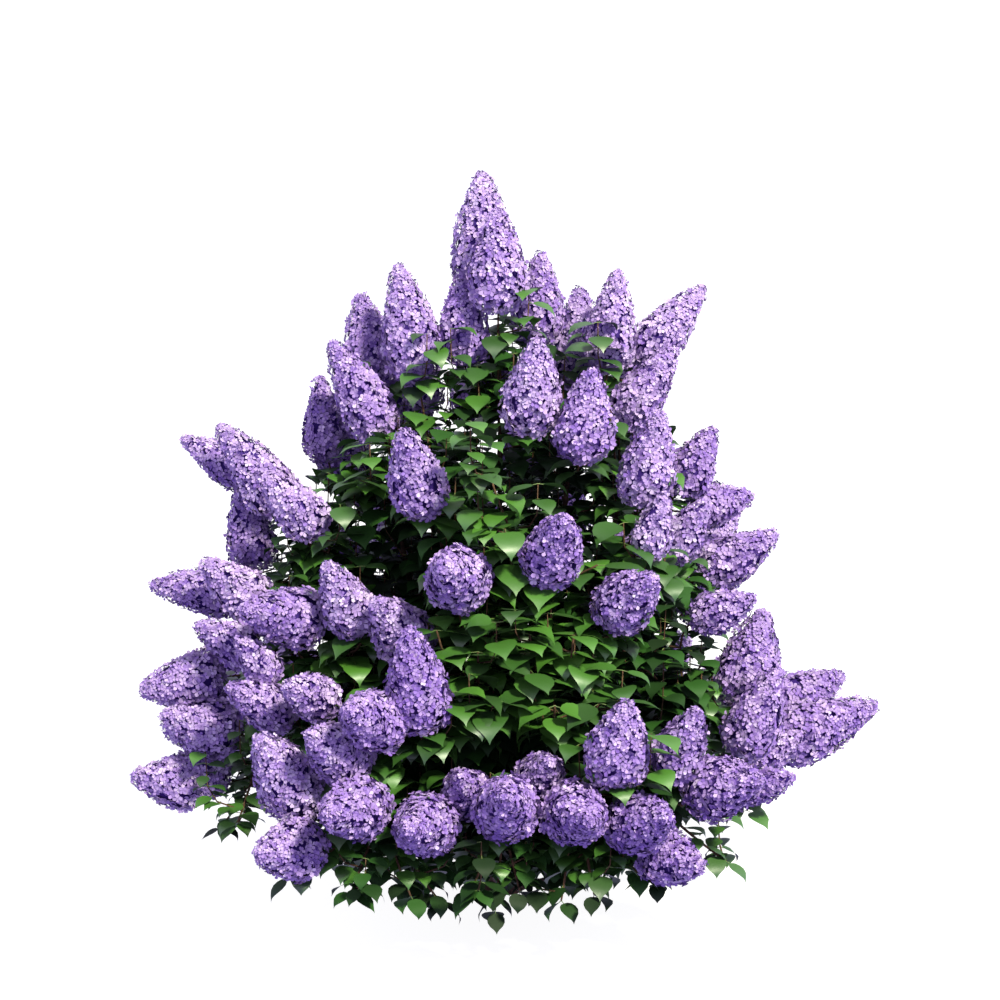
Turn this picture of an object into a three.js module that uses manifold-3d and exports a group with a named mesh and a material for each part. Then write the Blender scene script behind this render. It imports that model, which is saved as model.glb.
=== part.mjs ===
// Panicle hydrangea in full bloom: a low woody crown, its canes, and a mass of leafy,
// flowering shoots on each cane. Millimetres, +Z up, +X to the right, -Y to the front.
// The origin is the middle of the flat cut under the crown, at ground level.
import * as THREE from "three";
import { mergeVertices } from "three/addons/utils/BufferGeometryUtils.js";
import Module from "manifold-3d";

const wasm = await Module();
wasm.setup();

// The outline of the whole plant
const PLANT_HEIGHT = 1620;
const PLANT_REACH = 850;
const WIDEST_HEIGHT = 450;
const SKIRT_TUCK = 0.2;
const SHOULDER_POWER = 0.75;
const GROUND_CLEARANCE = 6;

// The woody crown at the foot
const CROWN_RADIUS = 56;
const CROWN_HEIGHT = 84;
const CROWN_FLARE = 20;
const CROWN_LOBES = 5;
const CROWN_LOBE_DEPTH = 0.1;
const CROWN_SIDES = 20;
const CROWN_FLARE_TOP = [0.4, 0.16];
const CROWN_PROFILE = [[1, 0.42], [0.86, 0.74], [0.5, 0.95], [0, 1]];

// Canes: one from the crown to the fork of each mass
const CANE_FOOT_RADIUS = 8;
const CANE_TIP_RADIUS = 5;
const CANE_SIDES = 5;
const CANE_STEPS = 3;
const CANE_RISE_SHARE = 1.15;
const CANE_RISE_DROP = 16;
const CANE_LEAST_RISE = 8;
const CANE_MOST_RISE = 84;
const CANE_KEEPS_BEARING = 0.5;
const CANE_FOOT_CURVE = 0.4;
const CANE_TIP_CURVE = 0.3;
const CANE_TIP_LIFT = 0.25;
const CANE_TIERS = [
  { below: 400, ring: 46, height: 24 },
  { below: 800, ring: 38, height: 44 },
  { below: 1600, ring: 27, height: 56 },
];

// Shoots: three-sided twigs that fan out from the fork
const LOWEST_FORK = 22;
const FORK_SPACING = 24;
const SHOOT_FOOT_RADIUS = 4.4;
const SHOOT_TIP_RADIUS = 3.4;
const SHOOT_KEEPS_AXIS = 0.2;
const SHOOT_SIDES = 3;
const SHOOT_STEPS = 2;
const SHOOT_CURVE = 0.35;
const LEAFY_TIP_LIFT = 0.12;

// Flower heads: blunt cones, widest a third of the way up
const HEAD_LENGTH = 225;
const HEAD_RADIUS = 67;
const HEAD_SIDES = 5;
const HEAD_PROFILE = [[0.22, 1], [0.66, 0.72], [1, 0]];

// Leaves: opposite pairs, each pair turned a quarter round the shoot
const LEAF_LENGTH = 116;
const LEAF_WIDTH = 68;
const LEAF_THICKNESS = 3.2;
const LEAF_WIDEST = 0.4;
const LEAF_RIDGE = 0.2;
const LEAF_RISE = 0.3;
const LEAF_DROOP = 0.35;
const PAIR_SPACING = 160;
const FIRST_PAIR = 46;
const SMALLEST_LEAF = 0.85;
const LARGEST_LEAF = 1.15;
const STEEPEST_LEAF = 0.85;

// Clear space between pieces that don't grow out of each other
const SEAT_GAP = 0.3;
const CLEARANCE = 1;

const BARK = new THREE.MeshStandardMaterial({ color: 0x5d4433, roughness: 0.9, metalness: 0 });
const FOLIAGE = new THREE.MeshStandardMaterial({ color: 0x3c7a35, roughness: 0.55, metalness: 0 });

const UP = new THREE.Vector3(0, 0, 1);

// Masses that show from the front. fork is where the cane ends. Each flower head has the place of
// its tip, its size, how many degrees it leans outward from upright, and its girth where that isn't
// 1. Each leafy shoot has the place of its tip.
const FRONT_MASSES = [
  {
    name: "top", fork: [0, -40, 1040],
    heads: [[-40, 20, 1610, 1.23, 2, 0.9], [-5, -130, 1535, 1.0, 6], [-85, -60, 1390, 0.88, 3, 0.97],
      [90, 20, 1435, 0.92, 3, 0.95], [80, -320, 1275, 0.97, 20], [-5, 120, 1235, 0.75, 5, 0.9]],
    leafy: [],
  },
  {
    name: "upper_right", fork: [150, -90, 960],
    heads: [[255, -40, 1400, 1.0, 5, 0.85], [180, 110, 1350, 1.0, 3, 0.95],
      [195, -330, 1215, 0.92, 15, 1.05]],
    leafy: [],
  },
  {
    name: "shoulder_right", fork: [260, -80, 880],
    heads: [[450, 0, 1360, 1.0, 41, 0.82], [380, -110, 1240, 0.97, 34, 0.85],
      [335, -320, 1125, 0.95, 15, 0.95], [475, 0, 1050, 0.77, 28, 1.05], [570, 60, 885, 0.7, 78, 1.15]],
    leafy: [],
  },
  {
    name: "upper_left", fork: [-140, -130, 940],
    heads: [[-220, -90, 1415, 1.15, 10, 0.85], [-310, 60, 1340, 0.97, 10],
      [-200, -430, 1100, 0.95, 29, 0.97], [-190, -20, 1235, 0.7, 12, 0.9]],
    leafy: [],
  },
  {
    name: "shoulder_left", fork: [-230, -20, 850],
    heads: [[-365, -110, 1250, 1.1, 28, 0.82], [-400, 60, 1155, 0.87, 5, 0.9],
      [-315, 60, 1005, 0.66, 10, 0.9]],
    leafy: [[-300, -200, 960]],
  },
  {
    name: "wing_right", fork: [320, -120, 660],
    heads: [[610, -80, 825, 0.85, 58, 1.03], [440, -290, 935, 0.75, 35, 0.95],
      [340, -400, 965, 0.68, 20, 0.9]],
    leafy: [],
  },
  {
    name: "wing_left", fork: [-360, -60, 660],
    heads: [[-620, -40, 1060, 1.12, 38, 0.82], [-720, 110, 1010, 0.87, 61, 0.82],
      [-580, 40, 920, 0.9, 10, 0.95], [-510, -240, 980, 0.86, 45, 0.93],
      [-775, -60, 705, 0.92, 82, 0.9], [-540, -430, 725, 0.92, 75, 1.06]],
    leafy: [],
  },
  {
    name: "side_left", fork: [-400, -190, 520],
    heads: [[-785, -190, 495, 0.86, 96, 1.22], [-645, -200, 785, 0.8, 50, 1.07],
      [-650, -270, 660, 0.7, 60, 1.08], [-360, -440, 825, 0.84, 33]],
    leafy: [],
  },
  {
    name: "low_left", fork: [-480, -120, 280],
    heads: [[-730, -270, 460, 0.8, 72, 1.2], [-800, -230, 315, 0.72, 78, 1.3],
      [-735, -220, 345, 0.7, 70, 1.1]],
    leafy: [[-610, -200, 190], [-560, -330, 240]],
  },
  {
    name: "middle_left", fork: [-350, -330, 420],
    heads: [[-565, -450, 565, 0.8, 60], [-440, -560, 595, 0.7, 65, 1.05], [-490, -600, 500, 1.05, 38],
      [-550, -400, 660, 0.62, 40]],
    leafy: [],
  },
  {
    name: "front_left", fork: [-200, -390, 430],
    heads: [[-180, -660, 735, 1.06, 20, 0.93], [-255, -490, 755, 0.95, 50], [-300, -755, 585, 0.95, 70],
      [-380, -690, 525, 0.93, 60]],
    leafy: [],
  },
  {
    name: "low_front_left", fork: [-260, -460, 230],
    heads: [[-345, -785, 385, 0.97, 80], [-485, -690, 275, 0.78, 82, 1.25], [-180, -800, 360, 0.97, 78]],
    leafy: [[-300, -640, 185], [-430, -560, 190], [-180, -640, 175], [-120, -580, 140]],
  },
  {
    name: "front", fork: [-10, -480, 260],
    heads: [[15, -830, 435, 1.0, 66], [-80, -680, 430, 0.77, 60], [95, -660, 465, 0.82, 55]],
    leafy: [[-60, -640, 185], [40, -620, 180], [-10, -590, 130]],
  },
  {
    name: "low_front_right", fork: [200, -470, 220],
    heads: [[180, -825, 385, 0.97, 80], [330, -780, 380, 0.95, 70], [405, -680, 245, 0.82, 85, 1.06]],
    leafy: [[190, -640, 180], [320, -520, 165], [125, -590, 150]],
  },
  {
    name: "front_right", fork: [310, -380, 330],
    heads: [[250, -725, 600, 0.87, 24, 1.12], [400, -610, 555, 0.83, 33],
      [525, -640, 420, 0.9, 70, 1.12]],
    leafy: [[470, -480, 200]],
  },
  {
    name: "side_right", fork: [340, -200, 440],
    heads: [[570, -180, 675, 1.0, 12, 1.12], [585, -330, 575, 0.93, 22], [540, -330, 730, 0.7, 65],
      [310, -600, 820, 0.92, 60]],
    leafy: [],
  },
  {
    name: "low_right", fork: [470, -60, 250],
    heads: [[850, 0, 420, 1.15, 68, 0.93], [665, -150, 385, 0.85, 60], [635, -290, 330, 0.62, 70]],
    leafy: [[540, -200, 230]],
  },
  {
    name: "front_high", fork: [10, -320, 700],
    heads: [[130, -600, 945, 0.95, 48], [-110, -630, 850, 1.0, 70]],
    leafy: [[10, -480, 900], [200, -450, 820], [-20, -420, 1000]],
  },
  {
    name: "leaf_wall_left", fork: [-30, -260, 290],
    heads: [],
    leafy: [[-130, -480, 690], [-85, -420, 730], [-45, -505, 650], [0, -430, 715], [-100, -560, 560],
      [-10, -590, 570]],
  },
  {
    name: "leaf_wall_right", fork: [120, -240, 280],
    heads: [],
    leafy: [[60, -520, 690], [105, -430, 740], [150, -530, 690], [210, -440, 730], [110, -600, 560],
      [200, -580, 560]],
  },
];

// Masses round the back, in tiers: bearings are degrees from +X towards +Y
const BACK_TIERS = [
  {
    name: "low_back", masses: 4, headsEach: 4, leafyTip: 170, from: 13, to: 167,
    forkHeight: 250, forkReach: 0.58, tips: [430, 300], leans: [68, 84],
  },
  {
    name: "middle_back", masses: 3, headsEach: 4, leafyTip: 0, from: 22, to: 158,
    forkHeight: 560, forkReach: 0.5, tips: [840, 650], leans: [42, 62],
  },
  {
    name: "upper_back", masses: 2, headsEach: 4, leafyTip: 0, from: 20, to: 160,
    forkHeight: 860, forkReach: 0.42, tips: [1230, 1060], leans: [14, 34],
  },
];
const BACK_HEAD_SIZES = [1, 0.9, 1.05, 0.95];
const LEAFY_TIP_SHARE = 0.85;

// How far the plant reaches from its axis at a height
function plantReach(z) {
  if (z < WIDEST_HEIGHT) {
    const below = (WIDEST_HEIGHT - z) / WIDEST_HEIGHT;
    return PLANT_REACH * (1 - SKIRT_TUCK * below * below);
  }
  const above = Math.min(1, (z - WIDEST_HEIGHT) / (PLANT_HEIGHT - WIDEST_HEIGHT));
  return PLANT_REACH * (1 - above) ** SHOULDER_POWER;
}

function onPlant(bearing, z, share = 1) {
  const reach = plantReach(z) * share;
  return new THREE.Vector3(Math.cos(bearing) * reach, Math.sin(bearing) * reach, z);
}

// The same numbers in the same order on every run
function seededRandom(seed) {
  let state = seed >>> 0;
  return () => {
    state = (Math.imul(state, 1664525) + 1013904223) >>> 0;
    return state / 4294967296;
  };
}

// A closed solid from a geometry, with shared corners merged and flattened faces left out
function solidFrom(geometry) {
  const bare = geometry.clone();
  bare.deleteAttribute("normal");
  bare.deleteAttribute("uv");
  const merged = mergeVertices(bare, 1e-4);
  const corners = merged.index.array;
  const kept = [];
  for (let i = 0; i < corners.length; i += 3) {
    const [a, b, c] = [corners[i], corners[i + 1], corners[i + 2]];
    if (a !== b && b !== c && c !== a) {
      kept.push(a, b, c);
    }
  }
  return new wasm.Manifold(new wasm.Mesh({
    numProp: 3,
    vertProperties: new Float32Array(merged.attributes.position.array),
    triVerts: new Uint32Array(kept),
  }));
}

function geometryFrom(solid) {
  const mesh = solid.getMesh();
  const geometry = new THREE.BufferGeometry();
  geometry.setAttribute("position", new THREE.BufferAttribute(mesh.vertProperties, 3));
  geometry.setIndex(new THREE.BufferAttribute(mesh.triVerts, 1));
  return geometry;
}

function moveVertices(geometry, place) {
  const position = geometry.attributes.position;
  const vertex = new THREE.Vector3();
  for (let i = 0; i < position.count; i += 1) {
    vertex.fromBufferAttribute(position, i);
    const moved = place(vertex);
    position.setXYZ(i, moved.x, moved.y, moved.z);
  }
  return geometry;
}

// Two directions square to an axis
function acrossAxes(axis) {
  const guide = Math.abs(axis.z) > 0.9 ? new THREE.Vector3(1, 0, 0) : UP;
  const side = new THREE.Vector3().crossVectors(guide, axis).normalize();
  return { side, front: new THREE.Vector3().crossVectors(axis, side) };
}

// Directions across a path at each of its points, carried along without twisting. The first may
// be square to an axis of its own, where the limb sits on another's end.
function carriedFrames(points, seatAxis) {
  let side = null;
  return points.map((point, i) => {
    const before = points[Math.max(0, i - 1)];
    const after = points[Math.min(points.length - 1, i + 1)];
    const axis = i === 0 && seatAxis ? seatAxis : after.clone().sub(before).normalize();
    side = side ? side.clone().addScaledVector(axis, -side.dot(axis)).normalize() : acrossAxes(axis).side;
    return { side, front: new THREE.Vector3().crossVectors(axis, side) };
  });
}

// A limb through points, with a radius at each
function limb(points, radii, sides, seatAxis = null) {
  const steps = points.length - 1;
  const frames = carriedFrames(points, seatAxis);
  return moveVertices(new THREE.CylinderGeometry(1, 1, 1, sides, steps), (vertex) => {
    const step = Math.round((vertex.y + 0.5) * steps);
    return points[step].clone()
      .addScaledVector(frames[step].side, vertex.x * radii[step])
      .addScaledVector(frames[step].front, -vertex.z * radii[step]);
  });
}

function taper(foot, tip, steps) {
  return Array.from({ length: steps + 1 }, (_, step) => foot + (tip - foot) * step / steps);
}

// Place and direction at a distance along a path of straight stretches
function alongPath(points, distance) {
  let left = distance;
  for (let i = 1; i < points.length; i += 1) {
    const stretch = points[i].clone().sub(points[i - 1]);
    const length = stretch.length();
    if (left <= length || i === points.length - 1) {
      const axis = stretch.normalize();
      return { place: points[i - 1].clone().addScaledVector(axis, left), axis };
    }
    left -= length;
  }
  return null;
}

function pathLength(points) {
  return points.slice(1).reduce((sum, point, i) => sum + point.distanceTo(points[i]), 0);
}

// A leaf of eight faces, thickest near its root, with its tip hanging
function leaf(root, along, size, grown) {
  const across = new THREE.Vector3().crossVectors(UP, along).normalize();
  const normal = new THREE.Vector3().crossVectors(along, across);
  const length = LEAF_LENGTH * size + grown;
  const width = LEAF_WIDTH * size + 2 * grown;
  const thickness = LEAF_THICKNESS + 2 * grown;
  const tipDrop = length * LEAF_DROOP;
  return moveVertices(new THREE.OctahedronGeometry(1, 0), (vertex) => {
    const point = root.clone();
    if (Math.abs(vertex.x) > 0.5) {
      const tip = vertex.x > 0 ? length : -thickness / 2;
      point.addScaledVector(along, tip).addScaledVector(UP, vertex.x > 0 ? -tipDrop : 0);
    } else if (Math.abs(vertex.y) > 0.5) {
      point.addScaledVector(along, length * LEAF_WIDEST).addScaledVector(across, vertex.y * width / 2);
    } else {
      point.addScaledVector(along, length * LEAF_RIDGE).addScaledVector(normal, vertex.z * thickness / 2);
    }
    return point;
  });
}

// Canes of one tier stand round a ring in the crown in the order of their bearings, each halfway
// between its own bearing and an even spacing
function dealFeet(masses) {
  for (const { below, ring, height } of CANE_TIERS) {
    const tier = masses
      .filter(({ fork, foot }) => !foot && fork.z < below)
      .map((mass) => ({ mass, bearing: Math.atan2(mass.fork.y, mass.fork.x) }))
      .sort((a, b) => a.bearing - b.bearing);
    const step = 2 * Math.PI / tier.length;
    const first = tier.reduce((sum, { bearing }, i) => sum + bearing - i * step, 0) / tier.length;
    tier.forEach(({ mass, bearing }, i) => {
      const dealt = (bearing + first + i * step) / 2;
      mass.foot = new THREE.Vector3(Math.cos(dealt) * ring, Math.sin(dealt) * ring, height);
    });
  }
}

// Cane from its foot in the crown, out and up to the fork of its mass
function caneCurve({ foot, fork }) {
  const span = foot.distanceTo(fork);
  const outward = fork.clone().sub(foot);
  const steepness = THREE.MathUtils.radToDeg(Math.atan2(outward.z, Math.hypot(outward.x, outward.y)));
  const rise = THREE.MathUtils.degToRad(
    THREE.MathUtils.clamp(steepness * CANE_RISE_SHARE - CANE_RISE_DROP, CANE_LEAST_RISE, CANE_MOST_RISE));
  const leaving = outward.clone().setZ(0).normalize()
    .add(foot.clone().setZ(0).setLength(CANE_KEEPS_BEARING))
    .setLength(Math.cos(rise));
  leaving.z = Math.sin(rise);
  const arriving = outward.clone().normalize().addScaledVector(UP, CANE_TIP_LIFT).normalize();
  return new THREE.CubicBezierCurve3(
    foot,
    foot.clone().addScaledVector(leaving, span * CANE_FOOT_CURVE),
    fork.clone().addScaledVector(arriving, -span * CANE_TIP_CURVE),
    fork);
}

// Woody crown with a lobed flare at the ground, and 'grown' larger all round when asked
function crownSolid(grown) {
  const radius = CROWN_RADIUS + grown;
  const height = CROWN_HEIGHT + grown;
  const [flare, flareTop] = CROWN_FLARE_TOP;
  const outline = [
    new THREE.Vector2(0, 0),
    new THREE.Vector2(radius + CROWN_FLARE, 0),
    new THREE.Vector2(radius + CROWN_FLARE * flare, height * flareTop),
    ...CROWN_PROFILE.map(([across, up]) => new THREE.Vector2(radius * across, height * up)),
  ];
  const lathe = new THREE.LatheGeometry(outline, CROWN_SIDES).rotateX(Math.PI / 2);
  return solidFrom(moveVertices(lathe, (vertex) => {
    const lobe = Math.cos(Math.atan2(vertex.y, vertex.x) * CROWN_LOBES);
    const low = Math.max(0, 1 - vertex.z / CROWN_HEIGHT);
    const swell = 1 + CROWN_LOBE_DEPTH * lobe * low;
    return new THREE.Vector3(vertex.x * swell, vertex.y * swell, vertex.z);
  }));
}

function caneSolid(points) {
  return solidFrom(limb(points, taper(CANE_FOOT_RADIUS, CANE_TIP_RADIUS, CANE_STEPS), CANE_SIDES));
}

function boxesMeet(a, b) {
  return a.min.every((low, axis) => low <= b.max[axis] && a.max[axis] >= b.min[axis]);
}

function touches(solid, others) {
  const box = solid.boundingBox();
  return others.some((other) => {
    if (!boxesMeet(box, other.box)) {
      return false;
    }
    const shared = solid.intersect(other.solid);
    const meet = !shared.isEmpty();
    shared.delete();
    return meet;
  });
}

function withBox(solid) {
  return { solid, box: solid.boundingBox() };
}

// A piece and its twin that is a little larger all round: the twin has to be clear of the others
function piece(make) {
  return { solid: solidFrom(make(0)), space: solidFrom(make(CLEARANCE)) };
}

function isFree({ space }, taken) {
  return space.boundingBox().min[2] > GROUND_CLEARANCE && !touches(space, taken);
}

// Path of a shoot from where it leaves its parent to the base of its flower head or its leafy tip
function shootPath(start, parentAxis, end, endAxis) {
  const span = start.distanceTo(end);
  const leaving = end.clone().sub(start).normalize().lerp(parentAxis, SHOOT_KEEPS_AXIS).normalize();
  return new THREE.CubicBezierCurve3(
    start,
    start.clone().addScaledVector(leaving, span * SHOOT_CURVE),
    end.clone().addScaledVector(endAxis, -span * SHOOT_CURVE),
    end).getSpacedPoints(SHOOT_STEPS);
}

// A shoot that swells into its flower head: an underside, a widest ring, a shoulder and a tip
function floweringShoot(path, axis, footRadius, { size, girth }, grown, seatAxis) {
  const base = path[path.length - 1];
  const points = [...path];
  const radii = taper(footRadius, SHOOT_TIP_RADIUS, SHOOT_STEPS).map((radius) => radius + grown);
  for (const [height, width] of HEAD_PROFILE) {
    points.push(base.clone().addScaledVector(axis, height * HEAD_LENGTH * size));
    radii.push(width > 0 ? width * HEAD_RADIUS * size * girth + grown : 0);
  }
  points.at(-1).addScaledVector(axis, grown);
  return limb(points, radii, HEAD_SIDES, seatAxis);
}

function leafyShoot(path, footRadius, grown, seatAxis) {
  const radii = taper(footRadius, SHOOT_TIP_RADIUS, SHOOT_STEPS).map((radius) => radius + grown);
  return limb(path, radii, SHOOT_SIDES, seatAxis);
}

// Opposite pairs of leaves up a shoot
function leafPairs(path, random) {
  const length = pathLength(path);
  const pairs = [];
  let turn = random() * Math.PI;
  for (let along = FIRST_PAIR; along < length; along += PAIR_SPACING) {
    const { place, axis } = alongPath(path, along);
    const { side, front } = acrossAxes(axis);
    const pair = [];
    for (const half of [0, Math.PI]) {
      const outward = side.clone().multiplyScalar(Math.cos(turn + half))
        .addScaledVector(front, Math.sin(turn + half))
        .addScaledVector(axis, LEAF_RISE)
        .normalize();
      const size = SMALLEST_LEAF + (LARGEST_LEAF - SMALLEST_LEAF) * random();
      if (Math.abs(outward.z) < STEEPEST_LEAF) {
        pair.push(piece((grown) => leaf(place, outward, size, grown)));
      }
    }
    pairs.push(pair);
    turn += Math.PI / 2;
  }
  return pairs;
}

// Direction of the end of a shoot. A flower head leans away from the plant's axis by its own angle,
// and a leafy tip carries on from where its shoot starts, lifted a little.
function endAxis({ tip, size, lean }, start) {
  if (size === 0) {
    return tip.clone().sub(start).normalize().addScaledVector(UP, LEAFY_TIP_LIFT).normalize();
  }
  const angle = THREE.MathUtils.degToRad(lean);
  return tip.clone().setZ(0).setLength(Math.sin(angle)).addScaledVector(UP, Math.cos(angle));
}

// A shoot towards the tip of its flower head, or towards its leafy tip where its size is 0
function growShoot(goal, { start, parentAxis, footRadius, seatAxis }) {
  const axis = endAxis(goal, start);
  const end = goal.tip.clone().addScaledVector(axis, -HEAD_LENGTH * goal.size);
  const path = shootPath(start, parentAxis, end, axis);
  const made = piece((grown) => (goal.size > 0
    ? floweringShoot(path, axis, footRadius, goal, grown, seatAxis)
    : leafyShoot(path, footRadius, grown, seatAxis)));
  return { path, ...made };
}

// Shoots of one mass: a leader that carries on from its cane, and others that leave it one above
// the other. One that would touch another mass or a cane is left out.
function growShoots({ name, fork, arriving, goals }, taken) {
  const seat = fork.clone().addScaledVector(arriving, SEAT_GAP);
  const leader = growShoot(goals[0], {
    start: seat, parentAxis: arriving, footRadius: CANE_TIP_RADIUS, seatAxis: arriving,
  });
  const others = goals.slice(1).map((goal, number) => {
    const { place, axis } = alongPath(leader.path, LOWEST_FORK + number * FORK_SPACING);
    return growShoot(goal, {
      start: place, parentAxis: axis, footRadius: SHOOT_FOOT_RADIUS, seatAxis: null,
    });
  });
  return [leader, ...others.filter((shoot) => isFree(shoot, taken))];
}

// Leaves of one mass that are clear of every cane, of other masses and of each other
function growLeaves(shoots, taken, random) {
  const leaves = [];
  for (const shoot of shoots) {
    const rest = shoots.filter((other) => other !== shoot).map(({ solid }) => withBox(solid));
    for (const pair of leafPairs(shoot.path, random)) {
      const fitting = pair.filter((part) => isFree(part, [...taken, ...rest, ...leaves]));
      leaves.push(...fitting.map(({ solid }) => withBox(solid)));
    }
  }
  return leaves;
}

// Masses of one tier round the back, their flower heads dealt evenly along the arc
function backMasses(tier) {
  const { name, masses, headsEach, leafyTip, from, to, forkHeight, forkReach, tips, leans } = tier;
  const total = masses * headsEach;
  const bearingOf = (share) => THREE.MathUtils.degToRad(from + (to - from) * share);
  return Array.from({ length: masses }, (_, number) => {
    const goals = Array.from({ length: headsEach }, (_, place) => {
      const order = number * headsEach + place;
      return {
        tip: onPlant(bearingOf((order + 0.5) / total), tips[order % tips.length]),
        size: BACK_HEAD_SIZES[order % BACK_HEAD_SIZES.length],
        lean: leans[order % leans.length],
        girth: 1,
      };
    });
    const middle = bearingOf((number + 0.5) / masses);
    if (leafyTip > 0) {
      goals.push({ tip: onPlant(middle, leafyTip, LEAFY_TIP_SHARE), size: 0 });
    }
    return { name: `${name}_${number + 1}`, fork: onPlant(middle, forkHeight, forkReach), goals };
  });
}

function allMasses() {
  const front = FRONT_MASSES.map(({ name, fork, heads, leafy }) => ({
    name,
    fork: new THREE.Vector3(...fork),
    goals: [...heads, ...leafy].map(([x, y, z, size = 0, lean = 0, girth = 1]) => ({
      tip: new THREE.Vector3(x, y, z), size, lean, girth,
    })),
  }));
  return [...front, ...BACK_TIERS.flatMap(backMasses)];
}

// The largest body alone: sealed hollows and loose scraps are separate bodies
function largestBody(solid) {
  return solid.decompose().reduce((best, body) => (body.volume() > best.volume() ? body : best));
}

function namedMesh(name, solid, material) {
  const mesh = new THREE.Mesh(geometryFrom(solid), material);
  mesh.name = name;
  return mesh;
}

function buildPlant() {
  const plant = new THREE.Group();
  plant.add(namedMesh("root_crown", crownSolid(0), BARK));
  const crownSpace = crownSolid(SEAT_GAP);
  const taken = [withBox(crownSpace)];
  const claim = (solid, owner) => taken.push({ ...withBox(solid), owner });
  const masses = allMasses();
  dealFeet(masses);
  for (const mass of masses) {
    const points = caneCurve(mass).getSpacedPoints(CANE_STEPS);
    mass.arriving = points.at(-1).clone().sub(points.at(-2)).normalize();
    mass.cane = caneSolid(points).subtract(crownSpace);
    claim(mass.cane, mass.name);
    plant.add(namedMesh(`cane_${mass.name}`, mass.cane, BARK));
  }
  for (const mass of masses) {
    mass.shoots = growShoots(mass, taken.filter(({ owner }) => owner !== mass.name));
    mass.shoots.forEach(({ solid }) => claim(solid, mass.name));
  }
  masses.forEach((mass, number) => {
    const others = taken.filter(({ owner }) => owner !== mass.name);
    const leaves = growLeaves(mass.shoots, [...others, withBox(mass.cane)], seededRandom(number + 1));
    leaves.forEach(({ solid }) => claim(solid, mass.name));
    const parts = [...mass.shoots, ...leaves].map(({ solid }) => solid);
    const fused = parts.reduce((sum, part) => sum.add(part));
    plant.add(namedMesh(`foliage_${mass.name}`, largestBody(fused), FOLIAGE));
  });
  return plant;
}

export default buildPlant();
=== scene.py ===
"""Panicle hydrangea in full bloom, dressed over its solids.

Sizes are millimetres in the plant's own frame: +Z up, +X to the right, -Y to the front, and the
origin in the middle of the flat cut under the crown. Meshes are made in metres.
"""
import math

import bpy
import numpy as np
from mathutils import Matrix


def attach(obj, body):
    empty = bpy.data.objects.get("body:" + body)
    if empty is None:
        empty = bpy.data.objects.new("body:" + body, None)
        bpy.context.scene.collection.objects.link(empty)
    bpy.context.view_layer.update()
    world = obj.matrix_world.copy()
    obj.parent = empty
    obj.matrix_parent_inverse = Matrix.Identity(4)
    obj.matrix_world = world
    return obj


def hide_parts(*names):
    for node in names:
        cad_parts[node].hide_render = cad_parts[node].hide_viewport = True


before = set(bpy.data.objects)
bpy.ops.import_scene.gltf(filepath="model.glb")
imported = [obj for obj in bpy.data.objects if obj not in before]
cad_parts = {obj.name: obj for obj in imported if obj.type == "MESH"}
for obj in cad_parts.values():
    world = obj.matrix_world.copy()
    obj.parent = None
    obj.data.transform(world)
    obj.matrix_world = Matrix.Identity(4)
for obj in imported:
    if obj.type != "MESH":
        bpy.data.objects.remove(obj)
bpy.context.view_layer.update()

METRE = 0.001
UP = np.array([0.0, 0.0, 1.0])
NEARLY_UPRIGHT = 0.9
CURVE_SAMPLES = 201
GOLDEN_TURN = math.pi * (3 - math.sqrt(5))

# The outline of the whole plant, as in the solids
PLANT_HEIGHT = 1620
PLANT_REACH = 850
WIDEST_HEIGHT = 450
SKIRT_TUCK = 0.2
SHOULDER_POWER = 0.75

# The woody crown, as in the solids
CROWN_RADIUS = 56
CROWN_HEIGHT = 84
CROWN_FLARE = 20
CROWN_LOBES = 5
CROWN_LOBE_DEPTH = 0.1
CROWN_FLARE_TOP = (0.4, 0.16)
CROWN_PROFILE = ((1, 0.42), (0.86, 0.74), (0.5, 0.95), (0, 1))

# Canes, as in the solids. Each tier has the height its forks lie below, and its ring of feet
CANE_FOOT_RADIUS = 8
CANE_TIP_RADIUS = 5
CANE_RISE_SHARE = 1.15
CANE_RISE_DROP = 16
CANE_LEAST_RISE = 8
CANE_MOST_RISE = 84
CANE_KEEPS_BEARING = 0.5
CANE_FOOT_CURVE = 0.4
CANE_TIP_CURVE = 0.3
CANE_TIP_LIFT = 0.25
CANE_TIERS = ((400, 46, 24), (800, 38, 44), (1600, 27, 56))
CANE_STEP = 14
CANE_LEAST_STEPS = 6

# Shoots and flower heads, as in the solids
LOWEST_FORK = 22
FORK_SPACING = 24
SHOOT_KEEPS_AXIS = 0.2
SHOOT_CURVE = 0.35
SHOOT_STEPS = 9
HEAD_LENGTH = 225
HEAD_RADIUS = 67
LEAFY_TIP_LIFT = 0.12

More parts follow.
